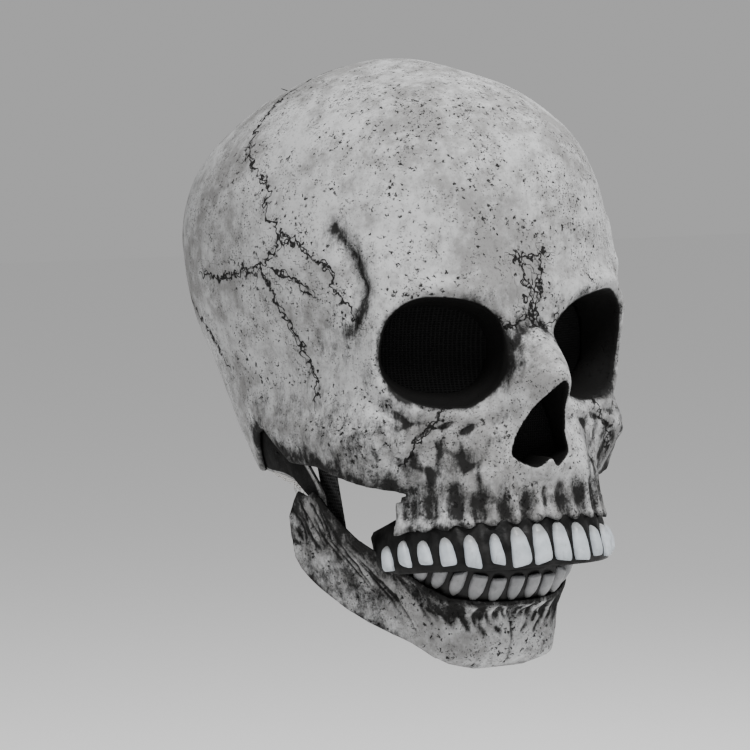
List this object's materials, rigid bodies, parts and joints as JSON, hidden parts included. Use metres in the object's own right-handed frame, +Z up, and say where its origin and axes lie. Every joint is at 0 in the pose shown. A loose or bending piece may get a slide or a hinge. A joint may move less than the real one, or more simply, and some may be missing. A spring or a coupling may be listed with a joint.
{
  "type": "latex halloween mask",
  "caption": "Full-head latex skull mask with a lower jaw that opens with the wearer's, gauze-backed eye and nose openings and foam pads inside.",
  "frame": {"origin": "centre of the head opening, level with the rear neck edge", "axes": "+Z up through the crown; the face looks along -Y; +X is the wearer's left"},
  "size_m": [0.1752, 0.2388, 0.2724],
  "materials": {
    "bone_latex": "matte latex painted as grey bone",
    "black_gum": "satin black latex",
    "upper_tooth": "satin latex painted bluish white",
    "lower_tooth": "satin latex painted grey",
    "black_gauze": "open black gauze",
    "white_gauze": "frayed cotton gauze",
    "elastic_band": "woven elastic",
    "foam": "soft open-cell foam"
  },
  "bodies": {
    "skull": {"skull_shell": "bone_latex", "eye_gauze_left": "black_gauze", "eye_gauze_right": "black_gauze", "nose_gauze": "black_gauze", "upper_gum": "black_gum", "upper_tooth_left_1": "upper_tooth", "upper_tooth_left_2": "upper_tooth", "upper_tooth_left_3": "upper_tooth", "upper_tooth_left_4": "upper_tooth", "upper_tooth_left_5": "upper_tooth", "upper_tooth_left_6": "upper_tooth", "upper_tooth_left_7": "upper_tooth", "upper_tooth_left_8": "upper_tooth", "upper_tooth_right_1": "upper_tooth", "upper_tooth_right_2": "upper_tooth", "upper_tooth_right_3": "upper_tooth", "upper_tooth_right_4": "upper_tooth", "upper_tooth_right_5": "upper_tooth", "upper_tooth_right_6": "upper_tooth", "upper_tooth_right_7": "upper_tooth", "upper_tooth_right_8": "upper_tooth", "hinge_web_left": "bone_latex", "web_gauze_left": "white_gauze", "jaw_elastic_left": "elastic_band", "upper_elastic_tab_left": "black_gum", "hinge_web_right": "bone_latex", "web_gauze_right": "white_gauze", "jaw_elastic_right": "elastic_band", "upper_elastic_tab_right": "black_gum", "crown_pad": "foam", "brow_pad": "foam"},
    "jaw": {"jaw_shell": "bone_latex", "lower_gum": "black_gum", "lower_tooth_left_1": "lower_tooth", "lower_tooth_left_2": "lower_tooth", "lower_tooth_left_3": "lower_tooth", "lower_tooth_left_4": "lower_tooth", "lower_tooth_left_5": "lower_tooth", "lower_tooth_left_6": "lower_tooth", "lower_tooth_right_1": "lower_tooth", "lower_tooth_right_2": "lower_tooth", "lower_tooth_right_3": "lower_tooth", "lower_tooth_right_4": "lower_tooth", "lower_tooth_right_5": "lower_tooth", "lower_tooth_right_6": "lower_tooth", "lower_elastic_tab_left": "black_gum", "lower_elastic_tab_right": "black_gum", "chin_pad": "foam"}
  },
  "joints": [
    {"name": "jaw_hinge", "type": "hinge", "parent": "skull", "child": "jaw", "pos_m": [0, -0.015, 0.005], "axis": [1, 0, 0], "range_deg": [0, 24], "stiffness_Nm_per_rad": 0.5, "springref_deg": -5.73, "deforming": ["hinge_web_left", "web_gauze_left", "hinge_web_right", "web_gauze_right", "jaw_elastic_left", "jaw_elastic_right"]}
  ]
}
